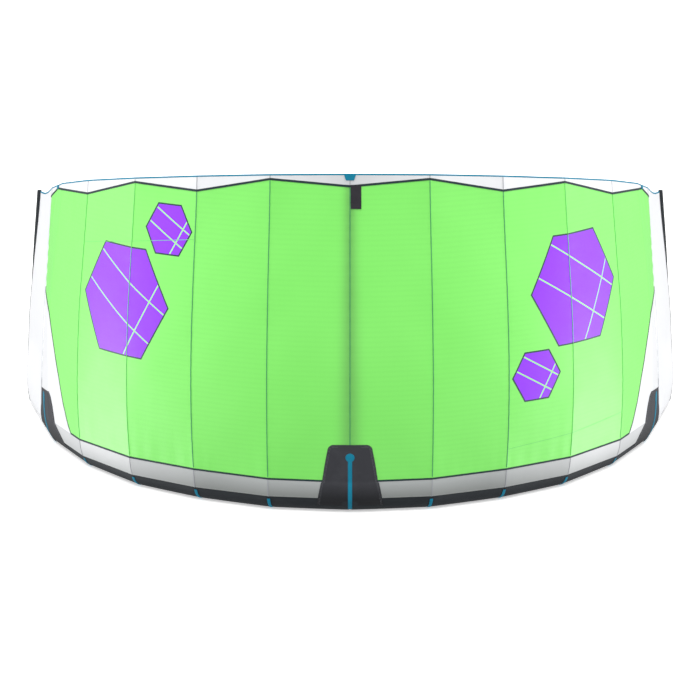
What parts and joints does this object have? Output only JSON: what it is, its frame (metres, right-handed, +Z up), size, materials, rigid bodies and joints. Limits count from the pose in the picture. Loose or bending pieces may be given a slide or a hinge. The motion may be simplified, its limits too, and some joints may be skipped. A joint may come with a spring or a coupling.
{
  "type": "kitesurfing kite",
  "caption": "Inflatable kitesurfing kite with a tubular leading edge, struts and a panelled green canopy, standing on its leading edge.",
  "frame": {"origin": "middle of the bounding box at floor level, under the hollow side of the kite", "axes": "+X across the span, -Y towards the convex outer side, +Z up from the leading edge on the floor to the trailing edge"},
  "size_m": [3.8918, 2.2506, 1.795],
  "materials": {
    "green_ripstop": "smooth coated ripstop canopy cloth",
    "white_cloth": "matte woven polyester",
    "pale_cloth": "matte woven polyester",
    "charcoal_cloth": "matte coarse woven polyester",
    "teal_trim": "woven tape",
    "dark_tape": "woven tape"
  },
  "bodies": {
    "root": {"le_tube_right_1": "charcoal_cloth", "le_tube_left_1": "charcoal_cloth", "le_tube_right_2": "charcoal_cloth", "le_tube_left_2": "charcoal_cloth", "le_tube_right_3": "charcoal_cloth", "le_tube_left_3": "charcoal_cloth", "le_tube_right_4": "charcoal_cloth", "le_tube_left_4": "charcoal_cloth", "le_tube_right_5": "charcoal_cloth", "le_tube_left_5": "charcoal_cloth", "le_tube_right_6": "charcoal_cloth", "le_tube_left_6": "charcoal_cloth", "canopy_panel_right_1": "green_ripstop", "canopy_panel_left_1": "green_ripstop", "canopy_panel_right_2": "green_ripstop", "canopy_panel_left_2": "green_ripstop", "canopy_panel_right_3": "green_ripstop", "canopy_panel_left_3": "green_ripstop", "canopy_panel_right_4": "green_ripstop", "canopy_panel_left_4": "green_ripstop", "canopy_panel_right_5": "green_ripstop", "canopy_panel_left_5": "green_ripstop", "te_strip_right": "white_cloth", "te_strip_left": "white_cloth", "te_tape_right": "dark_tape", "te_tape_left": "dark_tape", "le_tape_right": "dark_tape", "le_tape_left": "dark_tape", "le_strip_right": "pale_cloth", "le_strip_left": "pale_cloth", "gusset_right": "white_cloth", "gusset_left": "white_cloth", "tip_panel_right": "white_cloth", "tip_panel_left": "white_cloth", "te_binding_right": "teal_trim", "te_binding_left": "teal_trim", "strut_centre": "white_cloth", "strut_side_right": "white_cloth", "strut_side_left": "white_cloth", "centre_patch": "charcoal_cloth", "centre_keyhole": "teal_trim", "side_patch_right": "charcoal_cloth", "side_patch_left": "charcoal_cloth", "side_strap_right": "teal_trim", "side_strap_left": "teal_trim", "seam_band_right_1": "teal_trim", "seam_band_left_1": "teal_trim", "seam_band_right_2": "teal_trim", "seam_band_left_2": "teal_trim", "seam_band_right_3": "teal_trim", "seam_band_left_3": "teal_trim", "seam_band_right_4": "teal_trim", "seam_band_left_4": "teal_trim", "te_tab_centre": "teal_trim", "te_tab_right": "teal_trim", "te_tab_left": "teal_trim", "te_tag": "charcoal_cloth"}
  },
  "joints": []
}
